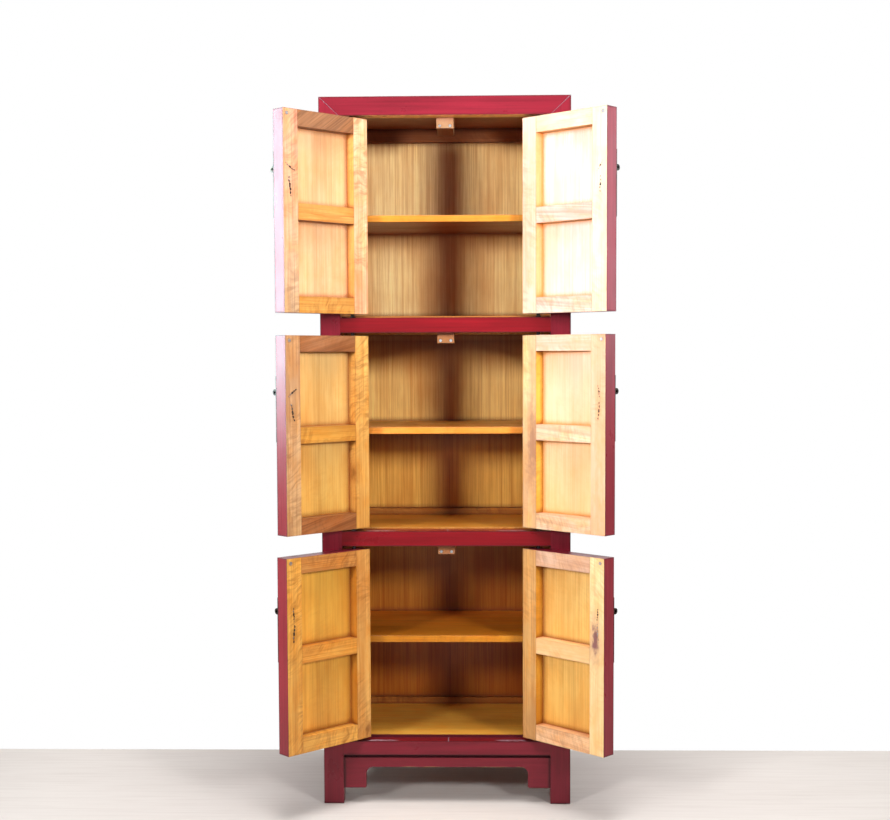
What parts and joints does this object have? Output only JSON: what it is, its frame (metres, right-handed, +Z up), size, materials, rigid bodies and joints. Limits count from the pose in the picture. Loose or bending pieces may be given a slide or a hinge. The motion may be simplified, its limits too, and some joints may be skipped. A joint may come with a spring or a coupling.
{
  "type": "wedding cabinet",
  "caption": "Tall lacquered east asian cabinet on legs, with tiers of pivot-hung framed doors in pairs, round brass face plates, drop pulls, inner shelves and an apron.",
  "frame": {"origin": "on the floor, under the middle of the bounding box with all doors open as at rest", "axes": "+X to the viewer's right, +Y into the cabinet so that the doors face -Y, +Z up"},
  "size_m": [0.8751, 0.6179, 1.85],
  "materials": {
    "red_lacquer": "worn crimson lacquer over wood",
    "interior_wood": "clear satin",
    "pale_wood": "bare sanded",
    "aged_brass": "aged satin",
    "dark_iron": "dark, rubbed",
    "magnet_steel": "bright nickel"
  },
  "bodies": {
    "cabinet": {"front_post_left": "red_lacquer", "front_post_right": "red_lacquer", "rear_posts": "red_lacquer", "top_front_rail": "red_lacquer", "upper_mid_rail": "red_lacquer", "lower_mid_rail": "red_lacquer", "bottom_front_rail": "red_lacquer", "side_rails": "red_lacquer", "rear_rails": "interior_wood", "side_panels": "red_lacquer", "back_panels": "interior_wood", "top_panel": "red_lacquer", "floor_boards": "interior_wood", "floor_lips": "interior_wood", "top_shelf": "interior_wood", "middle_shelf": "interior_wood", "bottom_shelf": "interior_wood", "shelf_battens": "interior_wood", "catch_blocks": "pale_wood", "catch_magnets": "magnet_steel", "front_apron": "red_lacquer", "side_apron_left": "red_lacquer", "side_apron_right": "red_lacquer"},
    "top_left_door": {"top_left_door_stiles": "red_lacquer", "top_left_door_rails": "red_lacquer", "top_left_door_panel": "red_lacquer", "top_left_door_pivots": "dark_iron", "top_left_door_hardware": "aged_brass"},
    "top_left_door_pull": {"top_left_door_pull": "aged_brass"},
    "top_right_door": {"top_right_door_stiles": "red_lacquer", "top_right_door_rails": "red_lacquer", "top_right_door_panel": "red_lacquer", "top_right_door_pivots": "dark_iron", "top_right_door_hardware": "aged_brass"},
    "top_right_door_pull": {"top_right_door_pull": "aged_brass"},
    "middle_left_door": {"middle_left_door_stiles": "red_lacquer", "middle_left_door_rails": "red_lacquer", "middle_left_door_panel": "red_lacquer", "middle_left_door_pivots": "dark_iron", "middle_left_door_hardware": "aged_brass"},
    "middle_left_door_pull": {"middle_left_door_pull": "aged_brass"},
    "middle_right_door": {"middle_right_door_stiles": "red_lacquer", "middle_right_door_rails": "red_lacquer", "middle_right_door_panel": "red_lacquer", "middle_right_door_pivots": "dark_iron", "middle_right_door_hardware": "aged_brass"},
    "middle_right_door_pull": {"middle_right_door_pull": "aged_brass"},
    "bottom_left_door": {"bottom_left_door_stiles": "red_lacquer", "bottom_left_door_rails": "red_lacquer", "bottom_left_door_panel": "red_lacquer", "bottom_left_door_pivots": "dark_iron", "bottom_left_door_hardware": "aged_brass"},
    "bottom_left_door_pull": {"bottom_left_door_pull": "aged_brass"},
    "bottom_right_door": {"bottom_right_door_stiles": "red_lacquer", "bottom_right_door_rails": "red_lacquer", "bottom_right_door_panel": "red_lacquer", "bottom_right_door_pivots": "dark_iron", "bottom_right_door_hardware": "aged_brass"},
    "bottom_right_door_pull": {"bottom_right_door_pull": "aged_brass"}
  },
  "joints": [
    {"name": "top_left_door_hinge", "type": "hinge", "parent": "cabinet", "child": "top_left_door", "pos_m": [-0.2415, -0.12113, 1.54225], "axis": [0, 0, -1], "range_deg": [-135.4, 3.6]},
    {"name": "top_left_door_pull_swing", "type": "hinge", "parent": "top_left_door", "child": "top_left_door_pull", "pos_m": [-0.41219, -0.26137, 1.60225], "axis": [0.712, 0.7022, 0], "range_deg": [0, 110]},
    {"name": "top_right_door_hinge", "type": "hinge", "parent": "cabinet", "child": "top_right_door", "pos_m": [0.2415, -0.12113, 1.54225], "axis": [0, 0, 1], "range_deg": [-138, 1]},
    {"name": "top_right_door_pull_swing", "type": "hinge", "parent": "top_right_door", "child": "top_right_door_pull", "pos_m": [0.41837, -0.25348, 1.60225], "axis": [0.7431, -0.6691, 0], "range_deg": [0, 110]},
    {"name": "middle_left_door_hinge", "type": "hinge", "parent": "cabinet", "child": "middle_left_door", "pos_m": [-0.2415, -0.12113, 0.98475], "axis": [0, 0, -1], "range_deg": [-135.2, 3.8]},
    {"name": "middle_left_door_pull_swing", "type": "hinge", "parent": "middle_left_door", "child": "middle_left_door_pull", "pos_m": [-0.4117, -0.26196, 1.04475], "axis": [0.7096, 0.7046, 0], "range_deg": [0, 110]},
    {"name": "middle_right_door_hinge", "type": "hinge", "parent": "cabinet", "child": "middle_right_door", "pos_m": [0.2415, -0.12113, 0.98475], "axis": [0, 0, 1], "range_deg": [-137.2, 1.8]},
    {"name": "middle_right_door_pull_swing", "type": "hinge", "parent": "middle_right_door", "child": "middle_right_door_pull", "pos_m": [0.41651, -0.25593, 1.04475], "axis": [0.7337, -0.6794, 0], "range_deg": [0, 110]},
    {"name": "bottom_left_door_hinge", "type": "hinge", "parent": "cabinet", "child": "bottom_left_door", "pos_m": [-0.2415, -0.12113, 0.42725], "axis": [0, 0, -1], "range_deg": [-135.9, 3.1]},
    {"name": "bottom_left_door_pull_swing", "type": "hinge", "parent": "bottom_left_door", "child": "bottom_left_door_pull", "pos_m": [-0.41341, -0.25987, 0.48725], "axis": [0.7181, 0.6959, 0], "range_deg": [0, 110]},
    {"name": "bottom_right_door_hinge", "type": "hinge", "parent": "cabinet", "child": "bottom_right_door", "pos_m": [0.2415, -0.12113, 0.42725], "axis": [0, 0, 1], "range_deg": [-136.5, 2.5]},
    {"name": "bottom_right_door_pull_swing", "type": "hinge", "parent": "bottom_right_door", "child": "bottom_right_door_pull", "pos_m": [0.41485, -0.25806, 0.48725], "axis": [0.7254, -0.6884, 0], "range_deg": [0, 110]}
  ]
}
